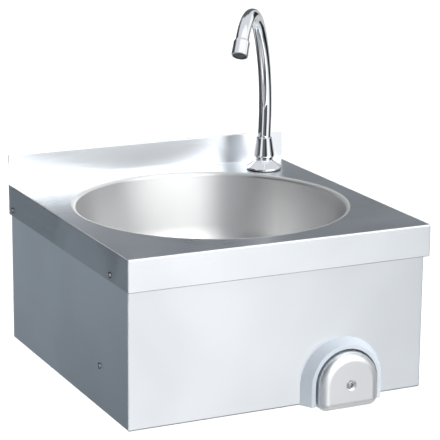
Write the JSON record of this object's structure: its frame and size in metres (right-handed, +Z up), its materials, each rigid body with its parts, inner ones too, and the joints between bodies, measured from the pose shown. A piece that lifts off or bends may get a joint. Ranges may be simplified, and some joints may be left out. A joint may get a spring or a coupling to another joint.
{
  "type": "hand wash sink",
  "caption": "Wall-hung square stainless steel hand wash basin with round bowl, upstand, folded skirt, swan-neck swivel tap and knee pad valve.",
  "frame": {"origin": "middle of the wall bracket's four holes, on the wall face", "axes": "+Z up, +X to the right as seen from the front, +Y into the wall; the sink reaches towards -Y"},
  "size_m": [0.4038, 0.4185, 0.446],
  "materials": {
    "worktop_steel": "brushed",
    "bowl_steel": "satin",
    "casing_steel": "satin",
    "bracket_steel": "mill",
    "screw_steel": "satin",
    "surround": "satin",
    "pad_steel": "polished satin",
    "rod_steel": "turned",
    "spring_steel": "drawn",
    "cast_brass": "cast",
    "turned_brass": "turned",
    "rubber": "matte",
    "tap_chrome": "polished",
    "fibre": "matte",
    "screen": "matte",
    "pipe_steel": "drawn",
    "waste_steel": "polished",
    "waste_plastic": "satin"
  },
  "bodies": {
    "sink": {"worktop": "worktop_steel", "basin_bowl": "bowl_steel", "casing": "casing_steel", "wall_bracket": "bracket_steel", "side_screws": "screw_steel", "rivet_nuts": "screw_steel", "rail_screws": "screw_steel", "surround_screws": "screw_steel", "knee_surround": "surround", "return_spring": "spring_steel", "valve_rail": "bracket_steel", "valve_body": "cast_brass", "valve_bonnet": "turned_brass", "valve_locknut": "turned_brass", "inlet_manifold": "cast_brass", "check_valves": "turned_brass", "tap_gasket": "rubber", "tap_base": "tap_chrome", "swivel_orings": "rubber", "spout_nut": "tap_chrome", "tap_washer": "fibre", "tap_backnut": "turned_brass", "feed_pipe": "pipe_steel", "union_nuts": "turned_brass", "union_tails": "turned_brass", "waste_grid": "waste_steel", "waste_screw": "screw_steel", "waste_gasket_upper": "rubber", "waste_gasket_lower": "rubber", "waste_body": "waste_plastic"},
    "knee_push": {"knee_pad": "pad_steel", "pad_screw": "screw_steel", "push_rod": "rod_steel", "valve_piston": "turned_brass", "piston_seal": "rubber"},
    "spout": {"spout_tube": "tap_chrome", "aerator_shell": "tap_chrome", "aerator_washer": "rubber", "aerator_insert": "screen"}
  },
  "joints": [
    {"name": "knee_push_slide", "type": "slide", "parent": "sink", "child": "knee_push", "axis": [0, 1, 0], "range_m": [0, 0.01], "stiffness_N_per_m": 1500, "springref_m": -0.008, "deforming": ["return_spring"]},
    {"name": "spout_swivel", "type": "hinge", "parent": "sink", "child": "spout", "pos_m": [0.148, -0.051, 0.06], "axis": [0, 0, 1], "range_deg": [-60, 130]}
  ]
}
